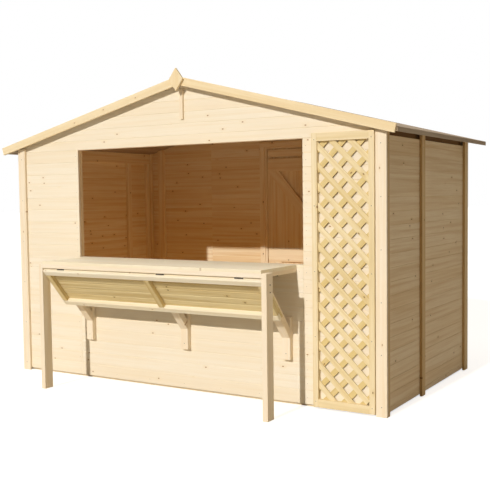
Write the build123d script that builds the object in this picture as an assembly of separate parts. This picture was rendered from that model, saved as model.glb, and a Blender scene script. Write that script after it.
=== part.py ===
"""Wooden kiosk: a small gabled booth with a serving hatch, a trellis and a back door.

Millimetres, +X to the right seen from the front, +Y into the kiosk, +Z up.
The origin is on the floor, in the middle of the front wall's frame.
"""
from build123d import *
import math
import os

# Boards and battens that the whole kiosk is made of
BOARD = 19.0
FRAME_DEPTH = 28.0
FRAME_WIDTH = 45.0
TRIM = 18.0
TRIM_WIDTH = 70.0
SIDE_TRIM_WIDTH = 62.0
FRONT_SIDE_TRIM_WIDTH = 32.0
FLOOR_GAP = 15.0

# Walls, over the outer faces of their boards
WALL_WIDTH = 2964.0
WALL_DEPTH = 1573.0

# Roof: the drop runs from the ridge to the side walls' outer faces, and DECK and BARGE_HEIGHT are plumb
RIDGE_X = 40.0
RIDGE_HEIGHT = 2105.0
ROOF_DROP = 372.0
DECK = 30.0
LEFT_EAVE = 150.0
RIGHT_EAVE = 93.0
FRONT_OVERHANG = 19.0
BACK_OVERHANG = 217.0
BARGE_HEIGHT = 57.0
BARGE_RISE = 15.0
PURLIN_WIDTH = 45.0
PURLIN_HEIGHT = 95.0
PURLIN_X = 740.0

# Serving opening in the front wall
OPENING_LEFT = -905.0
OPENING_WIDTH = 1848.0
HEAD_RAIL = 38.0
COUNTER_HEIGHT = 889.0

# Bi-fold hatch: the counter leaf and the leaf that hangs under its front edge
HATCH_SIDE_GAP = 15.0
COUNTER_DEPTH = 432.0
COUNTER_GAP = 2.0
HATCH_BATTEN = 28.0
HATCH_RAIL_WIDTH = 50.0
HATCH_MUNTIN_WIDTH = 40.0
LEAF_LENGTH = 346.0
LEAF_ANGLE = 49.5
LEAF_DROP = 20.0
LEAF_END_GAP = 2.0
LEAF_BOARD_INSET = 22.0
LEG_WIDTH = 35.0
LEG_DEPTH = 75.0
LEG_TOP_DROP = 19.0

# Wall brackets: battens on the parapet and struts up to the counter
BRACKET_CENTRES = (-796.0, 50.0, 834.0)
BRACKET_WIDTH = 59.0
BRACKET_DEPTH = 36.0
BRACKET_BOTTOM = 290.0
BRACKET_TOP = 560.0
STRUT = 44.0

# Trellis beside the opening
TRELLIS_WIDTH = 409.0
TRELLIS_GAP = 2.0
TRELLIS_DEPTH = 30.0
TRELLIS_BOTTOM = 13.0
TRELLIS_RISE = 26.0
TRELLIS_STILE = 36.0
TRELLIS_RAIL = 50.0
LATH_WIDTH = 35.0
LATH = 7.0
LATH_SETBACK = 12.0
LATH_PITCH = 86.0
LATH_LEAN = 45.0
CROSSING_X = -36.0
CROSSING_Z = 10.5

# Side walls: where their panels meet
LEFT_JOINT = 1180.0
RIGHT_JOINT = 587.0

# Back wall: doorway, door and framing
DOOR_LEFT = -205.0
DOOR_WIDTH = 690.0
DOOR_BOTTOM = 22.0
DOOR_TOP_DROP = 383.0
DOOR_GAP = 8.0
DOOR_POST = 50.0
STOP = 12.0
STOP_GAP = 5.0
STOP_LAP = 6.0
LEDGE = 19.0
LEDGE_WIDTH = 108.0
LOW_LEDGE_RISE = 128.0
MIDDLE_LEDGE_DROP = 957.0
HIGH_LEDGE_DROP = 198.0
TOP_LEDGE_WIDTH = 60.0
LEDGE_INSET = 16.0
BRACE_WIDTH = 75.0
BACK_STUD_LEFT = -1345.0
BACK_STUD_WIDTH = 67.0

# Door furniture
STRAP_LENGTH = 300.0
STRAP_WIDTH = 32.0
STRAP = 3.0
HINGE_PIN = 4.0
HINGE_WALL = 2.5
PIN_PLAY = 0.3
KNUCKLE_GAP = 1.0
PLATE_LENGTH = 60.0
PLATE_HEIGHT = 100.0
HANDLE_RISE = 27.0
HANDLE_LENGTH = 140.0
HANDLE_STANDOFF = 50.0
HANDLE_WIDTH = 20.0
HANDLE_INSET = 60.0

# Ornament on the gable
FINIAL_WIDTH = 115.0
FINIAL_HEIGHT = 153.0
FINIAL_DROP = 8.0
GABLE_BLOCK_WIDTH = 27.0
GABLE_BLOCK_DEPTH = 15.0
GABLE_BLOCK_DROP = 69.0
GABLE_BLOCK_HEIGHT = 196.0

# Planes worked out from the sizes above
FRONT_FRAME = -FRAME_DEPTH / 2
FRONT_INSIDE = FRAME_DEPTH / 2
FRONT_FACE = FRONT_FRAME - BOARD
TRIM_FACE = FRONT_FACE - TRIM
BACK_FACE = FRONT_FACE + WALL_DEPTH
BACK_FRAME = BACK_FACE - BOARD
BACK_INSIDE = BACK_FRAME - FRAME_DEPTH
SIDE_FACE = WALL_WIDTH / 2
SIDE_FRAME = SIDE_FACE - BOARD
SIDE_INSIDE = SIDE_FRAME - FRAME_DEPTH
OPENING_RIGHT = OPENING_LEFT + OPENING_WIDTH
PARAPET_TOP = COUNTER_HEIGHT - BOARD
LEFT_SLOPE = ROOF_DROP / (SIDE_FACE + RIDGE_X)
RIGHT_SLOPE = ROOF_DROP / (SIDE_FACE - RIDGE_X)
OPENING_TOP = RIDGE_HEIGHT - DECK - (SIDE_FRAME + RIDGE_X) * LEFT_SLOPE - HEAD_RAIL
DECK_FRONT = TRIM_FACE - FRONT_OVERHANG
DECK_BACK = BACK_FACE + BACK_OVERHANG
TRELLIS_TOP = OPENING_TOP + TRELLIS_RISE
DECK_LEFT = -SIDE_FACE - LEFT_EAVE
DECK_RIGHT = SIDE_FACE + RIGHT_EAVE
BARGE_FACE = DECK_FRONT - TRIM
DOOR_RIGHT = DOOR_LEFT + DOOR_WIDTH
DOORWAY_LEFT = DOOR_LEFT - DOOR_GAP
DOORWAY_RIGHT = DOOR_RIGHT + DOOR_GAP
DOOR_TOP = RIDGE_HEIGHT - DOOR_TOP_DROP
DOORWAY_TOP = DOOR_TOP + DOOR_GAP
LEDGE_LEVELS = (
    DOOR_BOTTOM + LOW_LEDGE_RISE,
    DOOR_TOP - MIDDLE_LEDGE_DROP,
    DOOR_TOP - HIGH_LEDGE_DROP,
)
STOP_LEFT = DOOR_LEFT + STOP_LAP
STOP_RIGHT = DOOR_RIGHT - STOP_LAP
STOP_BACK = BACK_FRAME - STOP_GAP
PIN_X = DOOR_RIGHT + DOOR_GAP / 2
PIN_Y = BACK_FACE + HINGE_PIN + HINGE_WALL + PIN_PLAY


def box(x0, x1, y0, y1, z0, z1):
    """A plain block between two corners."""
    return Pos((x0 + x1) / 2, (y0 + y1) / 2, (z0 + z1) / 2) * Box(x1 - x0, y1 - y0, z1 - z0)


def deck_top(x):
    """Height of the roof deck's top at x."""
    return RIDGE_HEIGHT - max((RIDGE_X - x) * LEFT_SLOPE, (x - RIDGE_X) * RIGHT_SLOPE)


def under_deck(x):
    """Height of the roof deck's underside at x."""
    return deck_top(x) - DECK


def plate_xz(points, y0, y1):
    """A plate between y0 and y1 with the given outline seen from the front."""
    outline = make_face(Polyline(*[(x, y0, z) for x, z in points], close=True))
    return extrude(outline, amount=y1 - y0, dir=(0, 1, 0))


def plate_yz(points, x0, x1):
    """A plate between x0 and x1 with the given outline seen from the side."""
    outline = make_face(Polyline(*[(x0, y, z) for y, z in points], close=True))
    return extrude(outline, amount=x1 - x0, dir=(1, 0, 0))


def write(name, *solids):
    """One STEP file for one named piece or group of like pieces."""
    shape = solids[0] if len(solids) == 1 else Compound(children=list(solids))
    shape.label = name
    export_step(shape, f"parts/{name}.step")


def under_roof(x0, x1, bottom):
    """Outline of a panel between x0 and x1 that reaches from bottom up to the deck."""
    crest = [(RIDGE_X, under_deck(RIDGE_X))] if x0 < RIDGE_X < x1 else []
    return [(x0, bottom), (x1, bottom), (x1, under_deck(x1)), *crest, (x0, under_deck(x0))]


def front_wall():
    """Boards beside, below and above the serving opening."""
    y0, y1 = FRONT_FACE, FRONT_FRAME
    write("front_left_wall", box(-SIDE_FACE, OPENING_LEFT, y0, y1, FLOOR_GAP, OPENING_TOP))
    write("front_right_wall", box(OPENING_RIGHT, SIDE_FACE, y0, y1, FLOOR_GAP, OPENING_TOP))
    write("front_parapet", box(OPENING_LEFT, OPENING_RIGHT, y0, y1, FLOOR_GAP, PARAPET_TOP))
    write("front_gable", plate_xz(under_roof(-SIDE_FACE, SIDE_FACE, OPENING_TOP), y0, y1))


def front_frame():
    """Battens behind the front boards, and the sill on the parapet."""
    y0, y1 = FRONT_FRAME, FRONT_INSIDE
    lefts = (
        -SIDE_FRAME,
        OPENING_LEFT - FRAME_WIDTH,
        OPENING_RIGHT,
        SIDE_FRAME - FRAME_WIDTH,
    )
    write("front_posts",
          *[box(x, x + FRAME_WIDTH, y0, y1, FRAME_WIDTH, OPENING_TOP) for x in lefts])
    write("front_rails",
          box(-SIDE_FRAME, SIDE_FRAME, y0, y1, 0, FRAME_WIDTH),
          box(-SIDE_FRAME, SIDE_FRAME, y0, y1, OPENING_TOP, OPENING_TOP + HEAD_RAIL),
          box(OPENING_LEFT, OPENING_RIGHT, y0, y1, PARAPET_TOP - FRAME_WIDTH, PARAPET_TOP))
    write("sill", box(OPENING_LEFT, OPENING_RIGHT, FRONT_FACE, y1, PARAPET_TOP, COUNTER_HEIGHT))


def side_walls():
    """Two boarded panels on each side, their rails and studs, and the battens under the eaves."""
    y0, y1 = FRONT_INSIDE, BACK_INSIDE
    rails, studs, battens = [], [], []
    for name, side, joint in (("left", -1, LEFT_JOINT), ("right", 1, RIGHT_JOINT)):
        x0, x1 = sorted((side * SIDE_FRAME, side * SIDE_FACE))
        write(f"{name}_wall_front", box(x0, x1, FRONT_FRAME, joint, FLOOR_GAP, OPENING_TOP))
        write(f"{name}_wall_back", box(x0, x1, joint, BACK_FRAME, FLOOR_GAP, OPENING_TOP))
        x0, x1 = sorted((side * SIDE_INSIDE, side * SIDE_FRAME))
        top = OPENING_TOP - FRAME_WIDTH
        rails += [box(x0, x1, y0, y1, 0, FRAME_WIDTH), box(x0, x1, y0, y1, top, OPENING_TOP)]
        battens.append(plate_xz(under_roof(x0, x1, OPENING_TOP), y0, y1))
        for y in (y0, joint, y1 - FRAME_WIDTH):
            studs.append(box(x0, x1, y, y + FRAME_WIDTH, FRAME_WIDTH, top))
    write("side_rails", *rails)
    write("side_studs", *studs)
    write("eaves_battens", *battens)


def trims():
    """Upright cover boards on the corners and over the joints of the side walls."""
    far = SIDE_FACE + TRIM
    half = SIDE_TRIM_WIDTH / 2
    corners, sides = [], []
    for side, joint in ((-1, LEFT_JOINT), (1, RIGHT_JOINT)):
        top = under_deck(side * far)
        x0, x1 = sorted((side * far, side * (far - TRIM_WIDTH)))
        for y0 in (TRIM_FACE, BACK_FACE):
            corners.append(box(x0, x1, y0, y0 + TRIM, 0, top))
        x0, x1 = sorted((side * SIDE_FACE, side * far))
        for y0, y1 in (
            (FRONT_FACE, FRONT_FACE + FRONT_SIDE_TRIM_WIDTH),
            (joint - half, joint + half),
            (BACK_FACE - SIDE_TRIM_WIDTH, BACK_FACE),
        ):
            sides.append(box(x0, x1, y0, y1, 0, top))
    write("corner_trims", *corners)
    write("side_trims", *sides)


def back_wall():
    """Boards of the back wall beside and over the doorway, their frame and the door's stops."""
    y0, y1 = BACK_FRAME, BACK_FACE
    write("back_left_wall", plate_xz(under_roof(-SIDE_FACE, DOORWAY_LEFT, FLOOR_GAP), y0, y1))
    write("back_right_wall", plate_xz(under_roof(DOORWAY_RIGHT, SIDE_FACE, FLOOR_GAP), y0, y1))
    write("back_gable", plate_xz(under_roof(DOORWAY_LEFT, DOORWAY_RIGHT, DOORWAY_TOP), y0, y1))
    y0, y1 = BACK_INSIDE, BACK_FRAME
    left, right = DOORWAY_LEFT - DOOR_POST, DOORWAY_RIGHT + DOOR_POST
    stop = STOP_BACK - STOP
    head = box(left, right, y0, y1, DOORWAY_TOP, DOORWAY_TOP + FRAME_WIDTH)
    head += box(STOP_LEFT, STOP_RIGHT, stop, STOP_BACK, DOOR_TOP - STOP_LAP, DOORWAY_TOP)
    write("back_rails",
          box(-SIDE_FRAME, left, y0, y1, 0, FRAME_WIDTH),
          box(right, SIDE_FRAME, y0, y1, 0, FRAME_WIDTH),
          head)
    studs = (
        (-SIDE_FRAME, FRAME_WIDTH),
        (BACK_STUD_LEFT, BACK_STUD_WIDTH),
        (SIDE_FRAME - FRAME_WIDTH, FRAME_WIDTH),
    )
    write("back_studs",
          *[plate_xz(under_roof(x, x + width, FRAME_WIDTH), y0, y1) for x, width in studs])
    write("door_posts",
          box(left, DOORWAY_LEFT, y0, y1, 0, DOORWAY_TOP)
          + box(DOORWAY_LEFT, STOP_LEFT, stop, STOP_BACK, 0, DOORWAY_TOP),
          box(DOORWAY_RIGHT, right, y0, y1, 0, DOORWAY_TOP)
          + box(STOP_RIGHT, DOORWAY_RIGHT, stop, STOP_BACK, 0, DOORWAY_TOP))


def door():
    """Ledged and braced board door that opens outwards."""
    z0, z1 = DOOR_BOTTOM, DOOR_TOP
    write("door_boards", box(DOOR_LEFT, DOOR_RIGHT, BACK_FRAME, BACK_FACE, z0, z1))
    x0, x1 = DOOR_LEFT + LEDGE_INSET, DOOR_RIGHT - LEDGE_INSET
    y0, y1 = BACK_FRAME - LEDGE, BACK_FRAME
    write("door_ledges",
          *[box(x0, x1, y0, y1, z, z + LEDGE_WIDTH) for z in LEDGE_LEVELS],
          box(x0, x1, y0, y1, z1 - LEDGE_INSET - TOP_LEDGE_WIDTH, z1 - LEDGE_INSET))
    write("door_braces", *[
        plate_xz(brace_outline(x0, x1, low + LEDGE_WIDTH, high), y0, y1)
        for low, high in zip(LEDGE_LEVELS, LEDGE_LEVELS[1:])
    ])


def brace_outline(x0, x1, z0, z1):
    """A brace that rises from the hinge side to the closing side between two ledges."""
    run, rise = x1 - x0, z1 - z0
    width = BRACE_WIDTH * math.hypot(run, rise) / rise
    return [(x1, z0), (x0 + width, z1), (x0, z1), (x1 - width, z0)]


def hinges():
    """Strap hinges outside the door: straps turn with it, plates and pins stay on the wall."""
    straps, plates = [], []
    barrel = HINGE_PIN + PIN_PLAY + HINGE_WALL
    edge = PIN_X + barrel + KNUCKLE_GAP
    for level in LEDGE_LEVELS:
        z = level + LEDGE_WIDTH / 2
        low, high = z - STRAP_WIDTH / 2, z + STRAP_WIDTH / 2
        eye = Pos(PIN_X, PIN_Y, z) * Cylinder(barrel, STRAP_WIDTH)
        strap = box(PIN_X - STRAP_LENGTH, PIN_X, BACK_FACE, BACK_FACE + STRAP, low, high) + eye
        straps.append(strap - Pos(PIN_X, PIN_Y, z) * Cylinder(HINGE_PIN + PIN_PLAY, STRAP_WIDTH))
        plate = Pos(PIN_X, PIN_Y, z) * Cylinder(HINGE_PIN, PLATE_HEIGHT)
        half = PLATE_HEIGHT / 2
        for z0, z1 in ((z - half, low - KNUCKLE_GAP), (high + KNUCKLE_GAP, z + half)):
            plate += Pos(PIN_X, PIN_Y, (z0 + z1) / 2) * Cylinder(barrel, z1 - z0)
            plate += box(PIN_X, edge, BACK_FACE, BACK_FACE + STRAP, z0, z1)
        plate += box(edge, edge + PLATE_LENGTH, BACK_FACE, BACK_FACE + STRAP, z - half, z + half)
        plates.append(plate)
    write("door_straps", *straps)
    write("hinge_plates", *plates)


def handle():
    """Wooden pull handle on the outside of the door."""
    x0, x1 = DOOR_LEFT + HANDLE_INSET, DOOR_LEFT + HANDLE_INSET + HANDLE_WIDTH
    z0 = LEDGE_LEVELS[1] + LEDGE_WIDTH + HANDLE_RISE
    z1 = z0 + HANDLE_LENGTH
    grip = box(x0, x1, BACK_FACE, BACK_FACE + HANDLE_STANDOFF, z0, z1)
    grip -= box(x0, x1, BACK_FACE, BACK_FACE + HANDLE_STANDOFF - HANDLE_WIDTH,
                z0 + HANDLE_WIDTH, z1 - HANDLE_WIDTH)
    write("door_handle", grip)


def roof():
    """Deck boards, purlins and barge boards."""
    y0, y1 = DECK_FRONT, DECK_BACK
    for name, edge in (("left", DECK_LEFT), ("right", DECK_RIGHT)):
        deck = [
            (RIDGE_X, RIDGE_HEIGHT),
            (edge, deck_top(edge)),
            (edge, under_deck(edge)),
            (RIDGE_X, under_deck(RIDGE_X)),
        ]
        write(f"roof_{name}", plate_xz(deck, y0, y1))
        crest = RIDGE_HEIGHT + BARGE_RISE
        end = deck_top(edge) + BARGE_RISE
        slant = math.atan((crest - end) / (edge - RIDGE_X))
        width = BARGE_HEIGHT * math.cos(slant)
        barge = [
            (RIDGE_X, crest),
            (edge, end),
            (edge - width * math.sin(slant), end - width * math.cos(slant)),
            (RIDGE_X, crest - BARGE_HEIGHT),
        ]
        write(f"{name}_barge_board", plate_xz(barge, BARGE_FACE, DECK_FRONT))
    half = PURLIN_WIDTH / 2
    write("purlins", *[
        plate_xz(under_roof(x - half, x + half, under_deck(x) - PURLIN_HEIGHT), FRONT_FRAME, BACK_FRAME)
        for x in (RIDGE_X - PURLIN_X, RIDGE_X, RIDGE_X + PURLIN_X)
    ])


def ornament():
    """Diamond finial over the barge boards and the block below it on the gable."""
    half, rise = FINIAL_WIDTH / 2, FINIAL_HEIGHT / 2
    x, centre = RIDGE_X, RIDGE_HEIGHT - FINIAL_DROP
    diamond = [(x, centre + rise), (x + half, centre), (x, centre - rise), (x - half, centre)]
    write("finial", plate_xz(diamond, BARGE_FACE - TRIM, BARGE_FACE))
    half = GABLE_BLOCK_WIDTH / 2
    top = RIDGE_HEIGHT - GABLE_BLOCK_DROP
    write("gable_block",
          box(x - half, x + half, FRONT_FACE - GABLE_BLOCK_DEPTH, FRONT_FACE, top - GABLE_BLOCK_HEIGHT, top))


# The hatch between its two legs, and the hanging leaf's own frame of reference
HATCH_LEFT = OPENING_LEFT + HATCH_SIDE_GAP + LEG_WIDTH
HATCH_RIGHT = OPENING_RIGHT - HATCH_SIDE_GAP - LEG_WIDTH
COUNTER_BACK = FRONT_FACE - COUNTER_GAP
COUNTER_FRONT = COUNTER_BACK - COUNTER_DEPTH
COUNTER_UNDER = COUNTER_HEIGHT - BOARD - HATCH_BATTEN
LEAF_TOP = COUNTER_UNDER - LEAF_DROP
ALONG = (math.cos(math.radians(LEAF_ANGLE)), -math.sin(math.radians(LEAF_ANGLE)))
ACROSS = (-ALONG[1], ALONG[0])


def leaf_point(down, depth):
    """Side-view point of the hanging leaf, down its outer face and depth behind it."""
    return (COUNTER_FRONT + down * ALONG[0] + depth * ACROSS[0],
            LEAF_TOP + down * ALONG[1] + depth * ACROSS[1])


def leaf_bar(down0, down1, depth0, depth1, x0, x1):
    """A straight piece of the hanging leaf."""
    outline = [
        leaf_point(down0, depth0),
        leaf_point(down1, depth0),
        leaf_point(down1, depth1),
        leaf_point(down0, depth1),
    ]
    return plate_yz(outline, x0, x1)


def counter():
    """Counter leaf: boards over a frame of battens, carried by two legs."""
    x0, x1 = HATCH_LEFT, HATCH_RIGHT
    write("counter_boards", box(x0, x1, COUNTER_FRONT, COUNTER_BACK, COUNTER_HEIGHT - BOARD, COUNTER_HEIGHT))
    z0, z1 = COUNTER_UNDER, COUNTER_HEIGHT - BOARD
    y0, y1 = COUNTER_FRONT + HATCH_RAIL_WIDTH, COUNTER_BACK - HATCH_RAIL_WIDTH
    write("counter_rails",
          box(x0, x1, COUNTER_FRONT, y0, z0, z1),
          box(x0, x1, y1, COUNTER_BACK, z0, z1))
    ends = ((x0, x0 + HATCH_RAIL_WIDTH), (x1 - HATCH_RAIL_WIDTH, x1))
    write("counter_battens",
          *[box(left, right, y0, y1, z0, z1) for left, right in (*ends, *bracket_spans())])
    y1 = COUNTER_FRONT + LEG_DEPTH
    top = COUNTER_HEIGHT - LEG_TOP_DROP
    write("counter_legs",
          box(x0 - LEG_WIDTH, x0, COUNTER_FRONT, y1, 0, top),
          box(x1, x1 + LEG_WIDTH, COUNTER_FRONT, y1, 0, top))


def hanging_leaf():
    """Lower leaf of the hatch: rails and upright battens on its outer face, boards behind."""
    x0, x1 = HATCH_LEFT + LEAF_END_GAP, HATCH_RIGHT - LEAF_END_GAP
    rail, muntin = HATCH_RAIL_WIDTH, HATCH_MUNTIN_WIDTH
    write("leaf_rails",
          leaf_bar(0, rail, 0, HATCH_BATTEN, x0, x1),
          leaf_bar(LEAF_LENGTH - rail, LEAF_LENGTH, 0, HATCH_BATTEN, x0, x1))
    lefts = (x0, (x0 + x1 - muntin) / 2, x1 - muntin)
    write("leaf_battens", *[
        leaf_bar(rail, LEAF_LENGTH - rail, 0, HATCH_BATTEN, left, left + muntin)
        for left in lefts
    ])
    write("leaf_boards",
          leaf_bar(LEAF_BOARD_INSET, LEAF_LENGTH, HATCH_BATTEN, HATCH_BATTEN + BOARD, x0, x1))


def bracket_spans():
    """Left and right side of each bracket."""
    return [(x - BRACKET_WIDTH / 2, x + BRACKET_WIDTH / 2) for x in BRACKET_CENTRES]


def brackets():
    """Battens on the parapet, and struts from them to the counter along the leaf's back."""
    face = FRONT_FACE - BRACKET_DEPTH
    y, z = leaf_point(LEAF_LENGTH, HATCH_BATTEN + BOARD)
    fall = -ALONG[1] / ALONG[0]
    foot = z - fall * (face - y)
    top = y - (COUNTER_UNDER - z) / fall
    rise = STRUT / ALONG[0]
    strut = [
        (face, foot),
        (top, COUNTER_UNDER),
        (top + rise / fall, COUNTER_UNDER),
        (face, foot + rise),
    ]
    spans = bracket_spans()
    write("bracket_battens",
          *[box(x0, x1, face, FRONT_FACE, BRACKET_BOTTOM, BRACKET_TOP) for x0, x1 in spans])
    write("bracket_struts", *[plate_yz(strut, x0, x1) for x0, x1 in spans])


def trellis():
    """Trellis frame, and two layers of crossed laths inside it."""
    right = SIDE_FACE + TRIM - TRIM_WIDTH - TRELLIS_GAP
    left = right - TRELLIS_WIDTH
    y0, y1 = FRONT_FACE - TRELLIS_DEPTH, FRONT_FACE
    x0, x1 = left + TRELLIS_STILE, right - TRELLIS_STILE
    z0, z1 = TRELLIS_BOTTOM + TRELLIS_RAIL, TRELLIS_TOP - TRELLIS_RAIL
    write("trellis_stiles",
          box(left, x0, y0, y1, TRELLIS_BOTTOM, TRELLIS_TOP),
          box(x1, right, y0, y1, TRELLIS_BOTTOM, TRELLIS_TOP))
    write("trellis_rails",
          box(x0, x1, y0, y1, TRELLIS_BOTTOM, z0),
          box(x0, x1, y0, y1, z1, TRELLIS_TOP))
    front = y0 + LATH_SETBACK
    laths = lath_layer(x0, x1, z0, z1, front, -1) + lath_layer(x0, x1, z0, z1, front + LATH, 1)
    write("trellis_laths", laths)


def lath_layer(x0, x1, z0, z1, y, lean):
    """Parallel slanting laths that fill the frame, each clipped to its inside.

    A scrap in a corner that is shorter than a lath is wide is left out.
    """
    slant = math.radians(LATH_LEAN)
    step = LATH_PITCH / math.cos(slant)
    half_rise = (x1 - x0) * math.tan(slant) / 2
    middle = (x0 + x1) / 2
    first = z0 - half_rise + (CROSSING_Z - lean * CROSSING_X * math.tan(slant)) % step - step
    length = math.hypot(x1 - x0, 2 * half_rise) + LATH_PITCH
    clip = box(x0, x1, y, y + LATH, z0, z1)
    layer = None
    for n in range(math.ceil((z1 - z0 + 2 * half_rise) / step) + 2):
        bar = Rot(0, -lean * LATH_LEAN, 0) * Box(length, LATH, LATH_WIDTH)
        lath = Pos(middle, y + LATH / 2, first + n * step) * bar & clip
        if lath.volume > LATH * LATH_WIDTH ** 2 / 2:
            layer = lath if layer is None else layer + lath
    return layer


os.makedirs("parts", exist_ok=True)
front_wall()
front_frame()
side_walls()
trims()
back_wall()
door()
hinges()
handle()
roof()
ornament()
counter()
hanging_leaf()
brackets()
trellis()
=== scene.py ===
"""Looks of the wooden kiosk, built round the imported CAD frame. Metres, +Z up."""
import math

import bpy
import numpy as np
from mathutils import Matrix, Vector


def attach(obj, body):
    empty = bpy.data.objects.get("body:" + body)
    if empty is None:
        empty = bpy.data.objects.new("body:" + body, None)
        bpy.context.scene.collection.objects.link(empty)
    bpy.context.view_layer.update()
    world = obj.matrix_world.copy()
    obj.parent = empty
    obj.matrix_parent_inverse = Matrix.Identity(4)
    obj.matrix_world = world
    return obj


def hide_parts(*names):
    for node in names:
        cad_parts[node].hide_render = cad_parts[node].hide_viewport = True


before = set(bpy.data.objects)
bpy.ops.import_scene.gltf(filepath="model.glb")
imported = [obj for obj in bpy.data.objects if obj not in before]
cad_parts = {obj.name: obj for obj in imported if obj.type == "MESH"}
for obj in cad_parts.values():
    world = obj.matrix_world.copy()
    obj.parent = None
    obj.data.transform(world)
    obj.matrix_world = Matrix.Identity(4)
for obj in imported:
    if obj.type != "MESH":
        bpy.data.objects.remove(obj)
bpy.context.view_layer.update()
draw = np.random.default_rng(7)
X, Y, Z = (1, 0, 0), (0, 1, 0), (0, 0, 1)
TO_FRONT, TO_BACK = (0, -1, 0), Y

# Boards: the cover width of each kind, and a height or place where one joint lies
FRONT_PITCH, FRONT_JOINT = 0.08705, 0.015
SIDE_PITCH, SIDE_JOINT = 0.084, 0.044
GABLE_PITCH, GABLE_JOINT = 0.077, 1.734
DOOR_PITCH, DOOR_JOINT = 0.081, -0.150
ROOF_PITCH = 0.096
LEAF_PITCH = 0.056
COUNTER_PITCH = 0.0864
BACK_SEAM = -0.772          # upright seam in the back wall, left of the door
SHORTEST = 0.012            # a strip narrower than this isn't parted off
CREST_CUT = 0.002           # a sloping board ends this far below the highest point of its deck

# Lengths cut off corners, along either edge
OUTER_V, INNER_V = 0.0027, 0.0019   # V-joints of the walls, outside and inside
DECK_V = 0.0020                     # roof and door boards
GROOVE, GROOVE_BACK = 0.0050, 0.0008    # hatch boards, in front and behind
COUNTER_V = 0.0012
EASE = 0.0015                       # planed battens and trims
ROUND = 0.0080                      # front corners of the hatch's rails
LATH_MITRE = 0.0004
STEEL_EDGE, BARREL_EDGE = 0.0003, 0.0002

# How far the end faces are drawn in
BUTT = 0.0003
SEAM = 0.0016
LATH_EASE = 0.0008
BARREL_END = 0.0005

# Laths of the trellis
LATH_WIDTH, LATH_PITCH = 0.035, 0.086
LATH_SHORTEST = 0.004
# One crossing, from the panel's middle line and from half its width under its foot
CROSSING_X, CROSSING_Z = -0.036, 0.0105
# the back layer's darker tones are painted shade
FRONT_TONES, BACK_TONES = (0.0, 0.35), (0.75, 1.0)      # the front layer is the paler one

# Heads of fixings: radius and rise, the smaller top as a share, and how deep the rim is sunk
NAIL, NAIL_RISE = 0.0020, 0.0004
SCREW, SCREW_RISE = 0.0030, 0.0006
BOLT, BOLT_RISE = 0.0050, 0.0012
HEAD_TOP = 0.72
SUNK = 0.0004
HEAD_SIDES = 10

# Places of fixings, from the ends of what they hold
PARAPET_NAILS, PARAPET_INSET, PARAPET_TOP = 7, 0.030, 0.022
LEDGE_NAILS = (-0.018, 0.018)
TRIM_SCREWS, TRIM_BOTTOM, TRIM_TOP = 6, 0.06, 0.08
STILE_SCREWS, STILE_BOTTOM, STILE_TOP = 5, 0.05, 0.04
BRACKET_SCREWS = (0.04, 0.16)
BOLT_DROPS, BOLT_BACK = (0.069, 0.113), 0.006

# Butt hinges of the hatch
HINGE_LENGTH, HINGE_LEAF, HINGE_PLATE, HINGE_BARREL = 0.060, 0.026, 0.0015, 0.0035
HINGE_ASIDE = 0.1           # a hinge lies this far right of its bracket
LAST_BRACKET = 0.5          # or left of it, for the bracket beyond this place
HINGE_GAP = 0.002           # between the upper plate and the wall
WALL_PIN = (0.006, 0.004)   # a pin's place out from the wall and down from the rail
EDGE_PIN = (0.010, 0.006)   # a pin's place in from the front rail's face and down from the rail
EDGE_PLATE = 0.012          # the plate under the front rail starts this far in

FIGURE_SPREAD = 40          # each board takes its figure from somewhere in this many metres

DECIMALS = 5                # corners of the CAD meshes that agree so far are one point
NEAR = 1e-4                 # points this close to a level lie on it
SMALLEST_SINE = 0.2         # keeps a sharp corner from running far when it is drawn in
FACES_IT = 0.6              # cosine from which a face counts as looking in a direction
OUTER_FACE = 0.5            # the same times the face's place along X, on a batten at the eaves


def solids(node):
    """Triangles of each separate solid of a CAD node, as corner coordinates.

    The points of a solid get one label: each triangle spreads its lowest until none changes.
    """
    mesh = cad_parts[node].data
    mesh.calc_loop_triangles()
    corners = np.empty(len(mesh.vertices) * 3)
    mesh.vertices.foreach_get("co", corners)
    index = np.empty(len(mesh.loop_triangles) * 3, int)
    mesh.loop_triangles.foreach_get("vertices", index)
    corners = np.round(corners.reshape(-1, 3), DECIMALS)
    points, merged = np.unique(corners, axis=0, return_inverse=True)
    triangles = merged.reshape(-1)[index].reshape(-1, 3)
    label, before = np.arange(len(points)), None
    while before is None or (label != before).any():
        before = label.copy()
        low = label[triangles].min(1)
        for corner in range(3):
            np.minimum.at(label, triangles[:, corner], low)
    owner = label[triangles[:, 0]]
    return [points[triangles[owner == one]] for one in np.unique(owner)]


def box_of(solid):
    """Low and high corner of a solid."""
    points = solid.reshape(-1, 3)
    return points.min(0), points.max(0)


def boxes_of(node, axis):
    """Low and high corner of each solid of a node, in their order along an axis."""
    return sorted(map(box_of, solids(node)), key=lambda box: box[0][axis])


def across(axis):
    """The two axes square to one, in right-handed order."""
    return [(axis + 1) % 3, (axis + 2) % 3]


def outline_of(solid, axis):
    """Outline of a prism looked at along its axis, anticlockwise, and the prism's two ends.

    The outline is the rim of the low end: the edges that only one of its triangles has.
    """
    low, high = solid[..., axis].min(), solid[..., axis].max()
    cap = solid[(solid[..., axis] < low + NEAR).all(1)][..., across(axis)]
    edges = {(tuple(t[i]), tuple(t[(i + 1) % 3])) for t in cap for i in range(3)}
    onward = {b: a for a, b in edges if (b, a) not in edges}
    ring = [min(onward)]
    while onward[ring[-1]] != ring[0]:
        ring.append(onward[ring[-1]])
    return np.array(ring), low, high


def rectangle(low, high):
    """Outline of a rectangle between two corners, anticlockwise from the low one."""
    (a, b), (c, d) = low, high
    return np.array([[a, b], [c, b], [c, d], [a, d]])


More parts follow.
